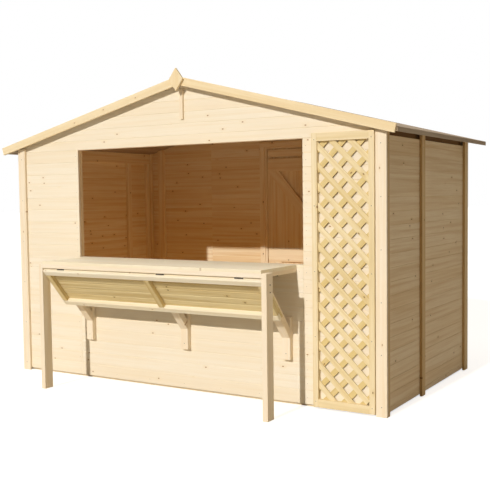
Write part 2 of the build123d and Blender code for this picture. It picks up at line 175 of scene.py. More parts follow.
def edge_ways(outline):
    """Unit vectors from each corner to the one before it and to the one after it."""
    before = np.roll(outline, 1, 0) - outline
    after = np.roll(outline, -1, 0) - outline
    return (before / np.linalg.norm(before, axis=1)[:, None],
            after / np.linalg.norm(after, axis=1)[:, None])


def drawn_in(outline, by):
    """The outline moved inwards by a depth.

    Each corner goes along both of its edges by the depth over the sine between them.
    """
    before, after = edge_ways(outline)
    sine = (after[:, 0] * before[:, 1] - after[:, 1] * before[:, 0])[:, None]
    return outline + by * (before + after) / (np.sign(sine) * np.maximum(np.abs(sine), SMALLEST_SINE))


def cut_corners(outline, cuts):
    """Each corner becomes two points, a cut's length back along either edge."""
    before, after = edge_ways(outline)
    cuts = np.broadcast_to(cuts, len(outline))[:, None]
    return np.stack([outline + cuts * before, outline + cuts * after], 1).reshape(-1, 2)


def with_kink(ring, level):
    """The ring with one point more on each edge that crosses a level of its second coordinate."""
    after = np.roll(ring, -1, 0)
    crosses = (ring[:, 1] - level) * (after[:, 1] - level) < 0
    start, end = ring[crosses], after[crosses]
    rise = (end - start)[:, 1:]
    extra = start + (end - start) * (level - start[:, 1:]) / rise
    return np.insert(ring, np.flatnonzero(crosses) + 1, extra, axis=0)


def stick(outline, ends, axis, grain, cuts=EASE, ease=EASE, tone=None, kink=None):
    """One board or batten.

    A point is (end station, place round the outline): the outline with cut corners is carried
    along the axis through four stations, the first and last drawn in by the ease. The ends may
    be functions of the outline's points, so that they can slope, with a kink at one level.
    The grain's own coordinates are (along, across, through), through being the thinner way.
    """
    full, small = cut_corners(outline, cuts), cut_corners(drawn_in(outline, ease), cuts)
    if kink is not None:
        full, small = with_kink(full, kink), with_kink(small, kink)
    low, high = (end(full) if callable(end) else np.full(len(full), end) for end in ends)
    stations = ((small, low), (full, low + ease), (full, high - ease), (small, high))
    points = np.empty((len(stations), len(full), 3))
    for row, (ring, at) in zip(points, stations):
        row[:, axis] = at
        row[:, across(axis)] = ring
    count, last = len(full), len(stations) - 1
    a = np.arange(last)[:, None] * count + np.arange(count)
    b = np.arange(last)[:, None] * count + (np.arange(count) + 1) % count
    quads = np.stack([a, b, b + count, a + count], -1).reshape(-1, 4)
    caps = [list(range(count))[::-1], list(range(last * count, (last + 1) * count))]
    points = points.reshape(-1, 3)
    along = np.array(grain, float) / np.linalg.norm(grain)
    square = np.eye(3)[np.abs(along).argmin()]
    ways = sorted((square, np.cross(along, square)), key=lambda way: np.ptp(points @ way))
    local = np.stack([points @ along, points @ ways[1], points @ ways[0]], 1)
    local += draw.uniform(0, FIGURE_SPREAD, 3)
    tone = draw.uniform(0, 1) if tone is None else tone
    return points, quads.tolist() + caps, local, np.full(len(points), tone)


def bar(low, high, axis, grain, cuts=EASE, ease=EASE):
    """A straight block between two corners as a stick along an axis."""
    u, v = across(axis)
    ring = rectangle((low[u], low[v]), (high[u], high[v]))
    return stick(ring, (low[axis], high[axis]), axis, grain, cuts, ease)


def circle(sides):
    """Points of a unit circle as a column of cosines and one of sines."""
    turn = np.linspace(0, 2 * math.pi, sides, endpoint=False)[:, None]
    return np.cos(turn), np.sin(turn)


def heads(places, normal, radius, rise):
    """Round heads of nails or screws.

    Each is a ring of points at the radius, sunk a little into the wood, and a smaller ring
    at the rise, with a flat on either end.
    """
    # The normal lies along an axis, so its numbers rolled on give a direction square to it
    normal = np.array(normal, float)
    one = np.roll(normal, 1)
    cosine, sine = circle(HEAD_SIDES)
    disc = (cosine * one + sine * np.cross(normal, one)) * radius
    shape = np.concatenate([disc - normal * SUNK, disc * HEAD_TOP + normal * rise])
    step = np.arange(HEAD_SIDES)
    after = (step + 1) % HEAD_SIDES
    sides = np.stack([step, after, after + HEAD_SIDES, step + HEAD_SIDES], 1).tolist()
    faces = sides + [step[::-1].tolist(), (step + HEAD_SIDES).tolist()]
    return [(shape + place, faces, shape, np.zeros(len(shape))) for place in places]


def piece(name, body, sticks, materials, nodes=(), second=None):
    """Joins sticks to one object; faces that look in a second direction take the second material."""
    start, faces = 0, []
    for points, own, _, _ in sticks:
        faces += [[i + start for i in face] for face in own]
        start += len(points)
    mesh = bpy.data.meshes.new(name)
    mesh.from_pydata(np.concatenate([s[0] for s in sticks]), [], faces)
    grain = np.concatenate([s[2] for s in sticks]).ravel()
    mesh.attributes.new("grain", "FLOAT_VECTOR", "POINT").data.foreach_set("vector", grain)
    tone = np.concatenate([s[3] for s in sticks])
    mesh.attributes.new("tone", "FLOAT", "POINT").data.foreach_set("value", tone)
    for material in materials:
        mesh.materials.append(material)
    if second is not None:
        normal = np.empty(len(mesh.polygons) * 3)
        mesh.polygons.foreach_get("normal", normal)
        faces_it = (normal.reshape(-1, 3) @ np.array(second, float)) > FACES_IT
        mesh.polygons.foreach_set("material_index", faces_it.astype(np.int32))
    mesh.update()
    obj = bpy.data.objects.new(name, mesh)
    bpy.context.scene.collection.objects.link(obj)
    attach(obj, body)
    if nodes:
        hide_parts(*nodes)
    return obj


def linear(code):
    """sRGB hex to a linear colour."""
    value = np.array([int(code[i:i + 2], 16) for i in (1, 3, 5)]) / 255
    return (*np.where(value <= 0.04045, value / 12.92, ((value + 0.055) / 1.055) ** 2.4), 1.0)


def add(tree, kind, inputs=None, out=0, **settings):
    """One node with its settings; an input is a value or the socket that feeds it.

    Gives back the output named by out, or all of them.
    """
    node = tree.nodes.new("ShaderNode" + kind)
    for key, value in settings.items():
        setattr(node, key, value)
    for key, value in (inputs or {}).items():
        if isinstance(value, bpy.types.NodeSocket):
            tree.links.new(value, node.inputs[key])
        else:
            node.inputs[key].default_value = value
    return node.outputs if out is None or not node.outputs else node.outputs[out]


def new_material(name):
    """An empty material and its node tree."""
    material = bpy.data.materials.new(name)
    material.use_nodes = True
    material.node_tree.nodes.clear()
    return material, material.node_tree


# Figure of the wood, in metres: a streak's length, width and depth, a ring's width, a cloud's size
STREAK = (1.1, 0.026, 0.033)
RING_WIDTH = 0.0044
CLOUD = 0.30
# Each layer: the noise from which it starts and at which it is full, and its share when full
CLOUD_LAYER = (0.45, 0.75, 0.50)
STREAK_LAYER = (0.42, 0.70, 0.75)
RING_LAYER = (0.46, 0.76, 0.40)
# Knots: one in some cells of a board, a cell being this long and wide, and parts of a cell
KNOT_CELL = (0.15, 0.080, 1.0)
KNOT_JITTER = 0.9
KNOT_SHARE = 0.17
KNOT_CORE, KNOT_EDGE, KNOT_HALO = 0.030, 0.062, 0.26
CORE_SHARE, HALO_SHARE = 0.85, 0.35
RING_BEND = 0.5             # how far, in streak widths, the rings bend round a knot
# Relief of the saw and plane marks
RELIEF, RELIEF_HEIGHT = 0.2, 0.0006
WOOD_IOR, WOOD_SPECULAR = 1.45, 0.25
# Zinc's spangle in metres, and how much duller and shinier its clouds are
SPANGLE = 0.011
SHINIER, DULLER = 0.10, 0.15


def pine(name, pale, warm, dark, knot, roughness, streak=1.0, knots=1.0):
    """Softwood board: growth-ring streaks along the grain, a tone of its own on each board,
    small brown knots with the rings bending round them, and fine saw or plane marks."""
    material, tree = new_material(name)
    pale, warm, dark, knot = map(linear, (pale, warm, dark, knot))
    mix = {"data_type": "RGBA", "out": "Result"}
    grain = add(tree, "Attribute", out="Vector", attribute_name="grain")
    tone = add(tree, "Attribute", out="Fac", attribute_name="tone")

    # Knots
    cell = add(tree, "Mapping", {"Vector": grain, "Scale": [1 / size for size in KNOT_CELL]})
    voronoi = add(tree, "TexVoronoi", {"Vector": cell, "Scale": 1.0, "Randomness": KNOT_JITTER},
                  None, voronoi_dimensions="2D")
    lot = add(tree, "SeparateColor", {"Color": voronoi["Color"]})
    chosen = add(tree, "Math", {0: lot, 1: KNOT_SHARE}, operation="LESS_THAN")
    marks = []
    for edge in (KNOT_EDGE, KNOT_HALO):
        near = add(tree, "MapRange", {"Value": voronoi["Distance"], "From Min": KNOT_CORE,
                                      "From Max": edge, "To Min": 1.0, "To Max": 0.0},
                   interpolation_type="SMOOTHSTEP")
        marks.append(add(tree, "Math", {0: near, 1: chosen}, operation="MULTIPLY"))
    core, halo = marks

    # Rings, streaks and clouds
    bend = add(tree, "Math", {0: halo, 1: RING_BEND}, operation="MULTIPLY")
    bend = add(tree, "CombineXYZ", {"Y": bend})
    ring = add(tree, "Mapping", {"Vector": grain, "Scale": [1 / size for size in STREAK]})
    ring = add(tree, "VectorMath", {0: ring, 1: bend}, operation="ADD")
    broad = add(tree, "TexNoise", {"Vector": ring, "Scale": 1.0, "Detail": 3.0,
                                   "Roughness": 0.55, "Distortion": 0.3}, "Fac")
    fine = add(tree, "TexNoise", {"Vector": ring, "Scale": STREAK[1] / RING_WIDTH,
                                  "Detail": 4.0, "Roughness": 0.6}, "Fac")
    cloud = add(tree, "TexNoise", {"Vector": grain, "Scale": 1 / CLOUD, "Detail": 2.0}, "Fac")

    # Colour
    base = add(tree, "Mix", {"Factor": tone, "A": pale, "B": warm}, **mix)
    for noise, (start, full, most), strength, colour in (
        (cloud, CLOUD_LAYER, 1.0, warm), (broad, STREAK_LAYER, streak, dark),
        (fine, RING_LAYER, streak, dark),
    ):
        share = add(tree, "MapRange", {"Value": noise, "From Min": start, "From Max": full,
                                       "To Min": 0.0, "To Max": most * strength})
        base = add(tree, "Mix", {"Factor": share, "A": base, "B": colour}, **mix)
    for mark, most, colour in ((halo, HALO_SHARE, dark), (core, CORE_SHARE, knot)):
        share = add(tree, "Math", {0: mark, 1: most * knots}, operation="MULTIPLY")
        base = add(tree, "Mix", {"Factor": share, "A": base, "B": colour}, **mix)

    # Relief
    height = add(tree, "Math", {0: fine, 1: core}, operation="SUBTRACT")
    normal = add(tree, "Bump", {"Strength": RELIEF, "Distance": RELIEF_HEIGHT, "Height": height})
    shader = add(tree, "BsdfPrincipled", {
        "Base Color": base, "Roughness": roughness, "IOR": WOOD_IOR,
        "Specular IOR Level": WOOD_SPECULAR, "Normal": normal})
    add(tree, "OutputMaterial", {"Surface": shader})
    return material


def steel(name, bright, dull, roughness):
    """Steel with a dull, cloudy, slightly spangled skin."""
    material, tree = new_material(name)
    place = add(tree, "TexCoord", out="Object")
    cloud = add(tree, "TexNoise", {"Vector": place, "Scale": 1 / SPANGLE, "Detail": 3.0}, "Fac")
    rough = add(tree, "MapRange", {"Value": cloud, "To Min": roughness - SHINIER,
                                   "To Max": roughness + DULLER})
    colour = add(tree, "Mix", {"Factor": cloud, "A": linear(bright), "B": linear(dull)}, "Result",
                 data_type="RGBA")
    shader = add(tree, "BsdfPrincipled",
                 {"Base Color": colour, "Metallic": 1.0, "Roughness": rough})
    add(tree, "OutputMaterial", {"Surface": shader})
    return material


def turned_pine(name, pale, dark, roughness):
    """Smooth pale pine of the pull handle: fine streaks that run up it, from Object coordinates."""
    material, tree = new_material(name)
    place = add(tree, "TexCoord", out="Object")
    ring = add(tree, "Mapping", {"Vector": place, "Scale": [1 / STREAK[i] for i in (1, 1, 0)]})
    noise = add(tree, "TexNoise", {"Vector": ring, "Scale": 1.0, "Detail": 4.0}, "Fac")
    colour = add(tree, "Mix", {"Factor": noise, "A": linear(pale), "B": linear(dark)}, "Result",
                 data_type="RGBA")
    shader = add(tree, "BsdfPrincipled", {"Base Color": colour, "Roughness": roughness})
    add(tree, "OutputMaterial", {"Surface": shader})
    return material


# Pale cream sawn boards of the front: soft streaks and few knots
sawn_pine = pine("sawn_pine_front", "#FBF1DD", "#F9ECD4", "#F3E0BC", "#A87A48", 0.75, 0.55)
# The same boards on the side and back, more golden and a touch darker as painted shade where less sun
# falls
shaded_side_back_pine = pine("sawn_pine_side_painted_shade", "#F5E1BE", "#EFD7AF", "#DCBA88", "#6E4420", 0.75)
# Cover boards of the side: a tone deeper as painted shade, and their faces towards the front brown as
# painted shade in the corner beside them
shaded_cover_pine = pine("sawn_pine_cover_painted_shade", "#E8CDA0", "#DFC190", "#CBA670", "#6E4420", 0.75)
painted_shade_edge_pine = pine("sawn_pine_edge_painted_shade", "#CDAC7A", "#C29F6B", "#AC8856", "#5A3818", 0.8)
# Planed trims and battens outside: even, pale, a few small knots
planed_pine = pine("planed_pine_trim", "#FBEED8", "#F9E8CC", "#F1D9B0", "#A87A48", 0.65, 0.7, 0.8)
# Barge boards: planed too, a touch more yellow
barge_pine = pine("planed_pine_barge", "#F9E9C6", "#F6E2BA", "#EACF9C", "#A87A48", 0.65, 0.8, 0.8)
# Counter and hatch rails: nearly white, paler than the other boards as painted light where the sun
# falls on them; smooth
painted_light_pine = pine("pine_counter_painted_light", "#FDF5E0", "#FBF0D4", "#F4E2BC", "#B08858", 0.6, 0.7, 0.5)
# Inner side of the boards: fresh pale pine with golden streaks
inner_pine = pine("planed_pine_inside", "#FBECCE", "#F6E2BC", "#E2BE84", "#6E4420", 0.7)
# Battens inside: as the boards round them
frame_pine = pine("planed_pine_batten", "#FBECCE", "#F7E4C0", "#E6C590", "#6E4420", 0.7)
# Battens under the eaves: dark brown outside as painted shade under the overhang
eaves_shade_pine = pine("pine_eaves_painted_shade", "#8A683C", "#7E5C32", "#6A4A26", "#452A12", 0.8)
# Roof boards: rough sawn, brownish grey, darkened as painted shade so that their edges under the eaves
# come out dark
shaded_roof_pine = pine("sawn_pine_roof_painted_shade", "#BDAB92", "#AF9C82", "#958069", "#5C442C", 0.8)
# Trellis frame: pale, slightly green from its impregnation
trellis_pine = pine("sawn_pine_trellis", "#F8E8C6", "#F1DDB2", "#E0C88E", "#8A6030", 0.75, 0.8)
# Trellis laths: pale in front and darker yellow-green in the back layer as painted shade, with brown
# lower right edges as painted shadow
lath_pine = pine("sawn_pine_lath", "#F8E8C2", "#E3CC8E", "#D6BA78", "#8A6030", 0.75, 0.8)
lath_shadow_pine = pine("sawn_pine_lath_painted_shadow", "#8C7038", "#80642E", "#6A5024", "#4A3414", 0.8)
# Hatch boards: greenish yellow, as impregnated pine is
leaf_pine = pine("sawn_pine_hatch", "#EEDFB2", "#E6D29E", "#CEB276", "#7E5C30", 0.75)
# Pull handle: pale and smooth to the hand
handle_pine = turned_pine("planed_pine_handle", "#FAEDD4", "#E8CB9C", 0.6)
# Door hinges: zinc-plated steel with a soft grey shine
zinc = steel("zinc_plated_steel", "#B4B6B8", "#8E9092", 0.45)
# Nail and screw heads: small dull dots, tinted warm as a painted reflection of the wood round them
nail_steel = steel("nail_steel", "#A39A8C", "#857C70", 0.6)
# Bolts and hatch hinges: oxidised steel, nearly black
dark_steel = steel("dark_steel", "#5E5248", "#40372F", 0.6)


def strips(low, high, first, pitch):
    """Both ends of each strip between joints; one joint lies at first, the rest whole pitches away."""
    count = np.arange(math.floor((low - first) / pitch), math.ceil((high - first) / pitch) + 1)
    joints = first + pitch * count
    edges = [low, *joints[(joints > low + SHORTEST) & (joints < high - SHORTEST)], high]
    return list(zip(edges, edges[1:]))


# Walls
gable, _, _ = outline_of(solids("front_gable")[0], 1)
ridge_z, ridge_x = gable[gable[:, 0].argmax()]
left_x, right_x = gable[:, 1].min(), gable[:, 1].max()
eave_z = gable[gable[:, 1] == right_x, 0].max()
LEFT_SLOPE = (ridge_z - eave_z) / (ridge_x - left_x)
RIGHT_SLOPE = (ridge_z - eave_z) / (right_x - ridge_x)


def under_roof(left, right):
    """Two functions of an outline's points (y, z): the ends of a board that stays under the deck.

    At a height, the deck's distance from the ridge along X is the drop from it over the slope.
    """
    return (lambda ring: np.maximum(left, ridge_x - (ridge_z - ring[:, 1]) / LEFT_SLOPE),
            lambda ring: np.minimum(right, ridge_x + (ridge_z - ring[:, 1]) / RIGHT_SLOPE))


def v_joints(ring, column, outer):
    """Cut of each corner of a wall board: one size on its outer face, another on its inner one."""
    out = ring[:, column] * outer
    return np.where(out == out.max(), OUTER_V, INNER_V)


def boards_x(node, outer, first, pitch, seams=()):
    """Level boards of a front or back panel, with upright seams at the given places.

    Between two seams a board is as high as the deck leaves room for, or left out.
    """
    (x0, y0, z0), (x1, y1, z1) = box_of(solids(node)[0])
    top = z1 if z1 < eave_z else z1 - CREST_CUT
    made = []
    for low, joint in strips(z0, top, first, pitch):
        for left, right in zip((x0, *seams), (*seams, x1)):
            high = min(joint, ridge_z - LEFT_SLOPE * (ridge_x - right) - CREST_CUT)
            if high > low + SHORTEST:
                ring = rectangle((y0, low), (y1, high))
                made.append(stick(ring, under_roof(left, right), 0, X, v_joints(ring, 0, outer),
                                  SEAM, kink=eave_z))
    return made


def boards_y(node, outer, first, pitch):
    """Level boards of a side panel: a rectangle between two joints, carried along Y."""
    (x0, y0, z0), (x1, y1, z1) = box_of(solids(node)[0])
    rings = [rectangle((low, x0), (high, x1)) for low, high in strips(z0, z1, first, pitch)]
    return [stick(ring, (y0, y1), 1, Y, v_joints(ring, 1, outer), BUTT) for ring in rings]


def walls():
    """Front, gable, back and side boards, with their inner faces in the inner pine."""
    front = ("front_left_wall", "front_right_wall", "front_parapet")
    piece("front_wall_boards", "building",
          [s for node in front for s in boards_x(node, -1, FRONT_JOINT, FRONT_PITCH)],
          (sawn_pine, inner_pine), front, TO_BACK)
    piece("front_gable_boards", "building",
          boards_x("front_gable", -1, GABLE_JOINT, GABLE_PITCH),
          (sawn_pine, inner_pine), ("front_gable",), TO_BACK)
    back = {"back_left_wall": (BACK_SEAM,), "back_right_wall": (), "back_gable": ()}
    piece("back_wall_boards", "building",
          [s for node, seams in back.items()
           for s in boards_x(node, 1, SIDE_JOINT, SIDE_PITCH, seams)],
          (shaded_side_back_pine, inner_pine), tuple(back), TO_FRONT)
    for side, outer in (("left", -1), ("right", 1)):
        nodes = (f"{side}_wall_front", f"{side}_wall_back")
        piece(f"{side}_wall_boards", "building",
              [s for node in nodes for s in boards_y(node, outer, SIDE_JOINT, SIDE_PITCH)],
              (shaded_side_back_pine, inner_pine), nodes, (-outer, 0, 0))


walls()


# Frame, trims and the straight parts of the hatch and the trellis
def battens(node, axis, grain):
    """Every solid of a CAD node as a batten with planed edges."""
    made = []
    for solid in solids(node):
        outline, low, high = outline_of(solid, axis)
        made.append(stick(outline, (low, high), axis, grain))
    return made


for node, axis, grain, slot, finish in (
    ("corner_trims", 2, Z, "pine", planed_pine),
    ("front_posts", 2, Z, "frame_timber", frame_pine),
    ("front_rails", 0, X, "frame_timber", frame_pine),
    ("side_rails", 1, Y, "frame_timber", frame_pine),
    ("side_studs", 2, Z, "frame_timber", frame_pine),
    ("back_studs", 1, Z, "frame_timber", frame_pine),
    ("door_posts", 2, Z, "frame_timber", frame_pine),
    ("purlins", 1, Y, "frame_timber", frame_pine),
    ("sill", 0, X, "pine", painted_light_pine),
    ("counter_legs", 2, Z, "pine", planed_pine),
    ("counter_rails", 0, X, "pine", planed_pine),
    ("counter_battens", 1, Y, "pine", planed_pine),
    ("bracket_battens", 2, Z, "pine", planed_pine),
    ("finial", 1, Z, "pine", barge_pine),
    ("gable_block", 2, Z, "pine", planed_pine),
    ("trellis_stiles", 2, Z, "pine", trellis_pine),
    ("trellis_rails", 0, X, "pine", trellis_pine),
    ("left_barge_board", 1, (1, 0, LEFT_SLOPE), "pine", barge_pine),
    ("right_barge_board", 1, (1, 0, -RIGHT_SLOPE), "pine", barge_pine),
):
    piece(node + "_dressed", "building", battens(node, axis, grain), (finish,), (node,))
# the cover boards' faces towards the front take the painted-shade brown
piece("side_trims_dressed", "building", battens("side_trims", 2, Z),
      (shaded_cover_pine, painted_shade_edge_pine), ("side_trims",), TO_FRONT)


def eaves_battens():
    """Battens under the eaves, with painted shade: their faces that look out of the kiosk take a dark
    brown.
    """
    obj = piece("eaves_battens_dressed", "building",
                battens("eaves_battens", 1, Y), (frame_pine, eaves_shade_pine), ("eaves_battens",))
    # outward faces take the painted shade
    for face in obj.data.polygons:
        face.material_index = int(face.normal.x * face.center.x > OUTER_FACE)


def level_boxes(solid):
    """Boxes of the parts of a stepped solid, one between each two levels of its corners."""
    points = solid.reshape(-1, 3)
    levels = np.unique(points[:, 2])
    made = []
    for low, high in zip(levels, levels[1:]):
        ring = points[np.isclose(points[:, 2], low if low == levels[0] else high)]
        (x0, y0), (x1, y1) = ring[:, :2].min(0), ring[:, :2].max(0)
        made.append(((x0, y0, low), (x1, y1, high)))
    return made


eaves_battens()
piece("back_rails_dressed", "building",
      [bar(low, high, 0, X) for solid in solids("back_rails") for low, high in level_boxes(solid)],
      (frame_pine,), ("back_rails",))


# Serving hatch
def leaf_direction():
    """Unit vector down the hanging leaf: the longest edge of its battens' outline."""
    outline, _, _ = outline_of(solids("leaf_battens")[0], 0)
    runs = np.roll(outline, -1, 0) - outline
    run = runs[np.linalg.norm(runs, axis=1).argmax()]
    return np.array([0, *run]) * (-1 if run[1] > 0 else 1) / np.linalg.norm(run)


LEAF_DOWN = leaf_direction()
LEAF_IN = np.array([-LEAF_DOWN[2], LEAF_DOWN[1]])   # in (y, z), from the leaf's front to its back


def leaf_rails():
    """Rails of the leaf, with their two front corners rounded off."""
    made = []
    for solid in solids("leaf_rails"):
        outline, low, high = outline_of(solid, 0)
        depth = outline @ LEAF_IN
        cuts = np.where(depth < depth.mean(), ROUND, EASE)
        made.append(stick(outline, (low, high), 0, X, cuts))
    piece("leaf_rails_dressed", "building", made, (painted_light_pine,), ("leaf_rails",))


def planks(node, direction, pitch, cuts, finish):
    """A flat CAD plate parted into boards along X.

    The plate is cut by lines square to the direction, one for each joint; tops, bottoms and
    thickness are the reach of its outline along the direction and square to it.
    """
    outline, low, high = outline_of(solids(node)[0], 0)
    way = np.array(direction, float)[1:]
    ways = np.array([way, (-way[1], way[0])])
    reach, depth = outline @ ways[0], outline @ ways[1]
    rings = [rectangle((a, depth.min()), (b, depth.max())) @ ways
             for a, b in strips(reach.min(), reach.max(), reach.min() + pitch, pitch)]
    piece(node + "_dressed", "building",
          [stick(ring, (low, high), 0, X, cuts, BUTT) for ring in rings], (finish,), (node,))


for node, finish in (("leaf_battens", leaf_pine), ("bracket_struts", planed_pine)):
    piece(node + "_dressed", "building", battens(node, 0, LEAF_DOWN), (finish,), (node,))
leaf_rails()
planks("leaf_boards", LEAF_DOWN, LEAF_PITCH, (GROOVE, GROOVE, GROOVE_BACK, GROOVE_BACK), leaf_pine)
planks("counter_boards", TO_FRONT, COUNTER_PITCH, COUNTER_V, painted_light_pine)


# Roof
def roof_boards(node, side):
    """Deck boards that run from front to back, parted by plumb joints from ridge to eave.

    A board's top falls by the slope times the distance from the ridge, and its underside lies
    the deck's upright thickness lower.
    """
    outline, low, high = outline_of(solids(node)[0], 1)
    z, out = outline[:, 0], np.abs(outline[:, 1] - ridge_x)
    top, edge = z.max(), out.max()
    at_edge = z[np.isclose(out, edge)]
    slope, thick = (top - at_edge.max()) / edge, np.ptp(at_edge)
    made = []
    for a, b in strips(0, edge, 0, ROOF_PITCH):
        ring = np.array([(top - at * slope - drop, ridge_x + side * at)
                         for at, drop in ((a, 0), (b, 0), (b, thick), (a, thick))])
        made.append(stick(ring[::side], (low, high), 1, Y, DECK_V, BUTT))
    piece(f"{node}_boards", "building", made, (shaded_roof_pine,), (node,))


roof_boards("roof_left", -1)
roof_boards("roof_right", 1)


# Back door
def door():
    """Upright door boards, then the ledges and braces on their inner side."""
    low, high = box_of(solids("door_boards")[0])
    piece("door_boards_dressed", "door",
          [bar((a, *low[1:]), (b, *high[1:]), 2, Z, DECK_V, BUTT)
           for a, b in strips(low[0], high[0], DOOR_JOINT, DOOR_PITCH)],
          (shaded_side_back_pine, inner_pine), ("door_boards",), TO_FRONT)
    for node, axis, grain in (("door_ledges", 0, X), ("door_braces", 1, (-1, 0, 1))):
        piece(node + "_dressed", "door", battens(node, axis, grain), (frame_pine,), (node,))


door()
for node, finish, slot in (
    ("door_straps", zinc, "zinc_steel"),
    ("hinge_plates", zinc, "zinc_steel"),
    ("door_handle", handle_pine, "pine"),
):
    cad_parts[node].data.materials.clear()
    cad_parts[node].data.materials.append(finish)

# Trellis
stiles, rails = boxes_of("trellis_stiles", 0), boxes_of("trellis_rails", 2)
LATH_X = (stiles[0][1][0], stiles[1][0][0])
LATH_Z = (rails[0][1][2], rails[1][0][2])


def lath(height, lean, front, back, tone):
    """A lath at 45 degrees through a height on the panel's middle line, cut at the frame.

    In its own directions, along and sideways, the ends are where the line of each of its edges
    enters and leaves the frame's rectangle.
    """
    root = math.sqrt(0.5)
    along, sideways = np.array([lean * root, root]), np.array([-root, lean * root])
    half = np.array([-LATH_WIDTH / 2, LATH_WIDTH / 2])
    start = np.array([sum(LATH_X) / 2, height]) + half[:, None] * sideways
    reach = [np.sort((np.array(span)[None] - start[:, [i]]) / along[i], 1)
             for i, span in enumerate((LATH_X, LATH_Z))]
    enter = np.maximum(reach[0][:, 0], reach[1][:, 0])
    leave = np.minimum(reach[0][:, 1], reach[1][:, 1])
    if (leave - enter < LATH_SHORTEST).any():
        return None
    near, far = start + enter[:, None] * along, start + leave[:, None] * along
    ring = np.array([near[0], far[0], far[1], near[1]])[:, ::-1]
    turn = ring - ring.mean(0)
    ring = ring[np.argsort(np.arctan2(turn[:, 1], turn[:, 0]))]
    return stick(ring, (front, back), 1, (along[0], 0, along[1]), LATH_MITRE, LATH_EASE, tone)


def laths():
    """Two layers of crossing laths; the back layer is darker as painted shade, and their edges towards
    the lower right are brown as painted shadow.

    The laths of a layer meet the panel's middle line every pitch times the root of two, and one
    of them passes through the crossing.
    """
    boxes = np.array([box_of(solid) for solid in solids("trellis_laths")])
    front, back = boxes[:, 0, 1].min(), boxes[:, 1, 1].max()
    middle = (front + back) / 2
    half = (LATH_X[1] - LATH_X[0]) / 2
    step = LATH_PITCH * math.sqrt(2)
    rows = math.ceil((LATH_Z[1] - LATH_Z[0] + 2 * half) / step) + 2
    made = []
    for lean, y0, y1, tones in ((-1, front, middle, FRONT_TONES), (1, middle, back, BACK_TONES)):
        first = LATH_Z[0] - half + (CROSSING_Z - lean * CROSSING_X) % step - step
        made += [lath(height, lean, y0, y1, draw.uniform(*tones))
                 for height in first + step * np.arange(rows)]
    root = math.sqrt(0.5)
    # edges towards the lower right take the painted shadow
    piece("trellis_laths_dressed", "building", [one for one in made if one is not None],
          (lath_pine, lath_shadow_pine), ("trellis_laths",), (root, 0, -root))


laths()


# Nails, screws and bolts
def centre_x(node):
    """Middle of each solid of a node along X."""
    return sorted((low[0] + high[0]) / 2 for low, high in map(box_of, solids(node)))


def centres(low, high, first, pitch):
    """Middle of each strip between joints."""
    return [(a + b) / 2 for a, b in strips(low, high, first, pitch)]


front_face = box_of(solids("front_parapet")[0])[0][1]


def wall_nails():
    """One nail in each board over each post or stud, and two rows across the parapet."""
    back_face = box_of(solids("back_gable")[0])[1][1]
    left_face = box_of(solids("left_wall_front")[0])[0][0]
    right_face = box_of(solids("right_wall_front")[0])[1][0]
    wall_low, wall_high = box_of(solids("front_left_wall")[0])
    low, high = box_of(solids("front_parapet")[0])
    studs = [(a[1] + b[1]) / 2 for a, b in map(box_of, solids("side_studs"))]
    front_levels = centres(wall_low[2], wall_high[2], FRONT_JOINT, FRONT_PITCH)
    side_levels = centres(low[2], wall_high[2], SIDE_JOINT, SIDE_PITCH)
    across_parapet = np.linspace(low[0] + PARAPET_INSET, high[0] - PARAPET_INSET, PARAPET_NAILS)
    made = heads([(x, front_face, z) for x in centre_x("front_posts")[1:3] for z in front_levels],
                 TO_FRONT, NAIL, NAIL_RISE)
    made += heads([(x, front_face, z) for z in (low[2] + PARAPET_INSET, high[2] - PARAPET_TOP)
                   for x in across_parapet], TO_FRONT, NAIL, NAIL_RISE)
    for x, way in ((left_face, -1), (right_face, 1)):
        made += heads([(x, y, z) for y in (min(studs), max(studs)) for z in side_levels],
                      (way, 0, 0), NAIL, NAIL_RISE)
    made += heads([(x, back_face, z) for x in centre_x("back_studs") + centre_x("door_posts")
                   for z in side_levels], TO_BACK, NAIL, NAIL_RISE)
    piece("wall_nails", "building", made, (nail_steel,))


def door_nails():
    """Two nails in each door board over each ledge."""
    low, high = box_of(solids("door_boards")[0])
    ledges = [(a[2] + b[2]) / 2 for a, b in map(box_of, solids("door_ledges"))]
    places = [(x, high[1], z + rise) for z in ledges for rise in LEDGE_NAILS
              for x in centres(low[0], high[0], DOOR_JOINT, DOOR_PITCH)]
    piece("door_nails", "door", heads(places, TO_BACK, NAIL, NAIL_RISE), (nail_steel,))


def leg_bolts():
    """Two bolts through the top of each leg, from the outer side."""
    made = []
    for low, high in map(box_of, solids("counter_legs")):
        x, way = (low[0], -1) if low[0] < 0 else (high[0], 1)
        y = (low[1] + high[1]) / 2 + BOLT_BACK
        made += heads([(x, y, high[2] - drop) for drop in BOLT_DROPS], (way, 0, 0), BOLT, BOLT_RISE)
    piece("leg_bolts", "building", made, (dark_steel,))


def trim_screws():
    """A row of screws up each cover board, bracket batten and trellis stile."""
    made = []
    for node, axis in (("corner_trims", 1), ("side_trims", 0)):
        for low, high in map(box_of, solids(node)):
            way = -1 if low[axis] < 0 else 1
            place = (low + high) / 2
            place[axis] = low[axis] if way < 0 else high[axis]
            levels = np.linspace(TRIM_BOTTOM, high[2] - TRIM_TOP, TRIM_SCREWS)
            made += heads([(*place[:2], z) for z in levels], way * np.eye(3)[axis],
                          SCREW, SCREW_RISE)
    rows = [(box, box[0][2] + np.array(BRACKET_SCREWS))
            for box in boxes_of("bracket_battens", 0)]
    rows += [(box, np.linspace(STILE_BOTTOM, box[1][2] - STILE_TOP, STILE_SCREWS))
             for box in stiles]
    for (low, high), levels in rows:
        made += heads([((low[0] + high[0]) / 2, low[1], z) for z in levels], TO_FRONT,
                      SCREW, SCREW_RISE)
    piece("trim_screws", "building", made, (nail_steel,))


wall_nails()
door_nails()
leg_bolts()
trim_screws()


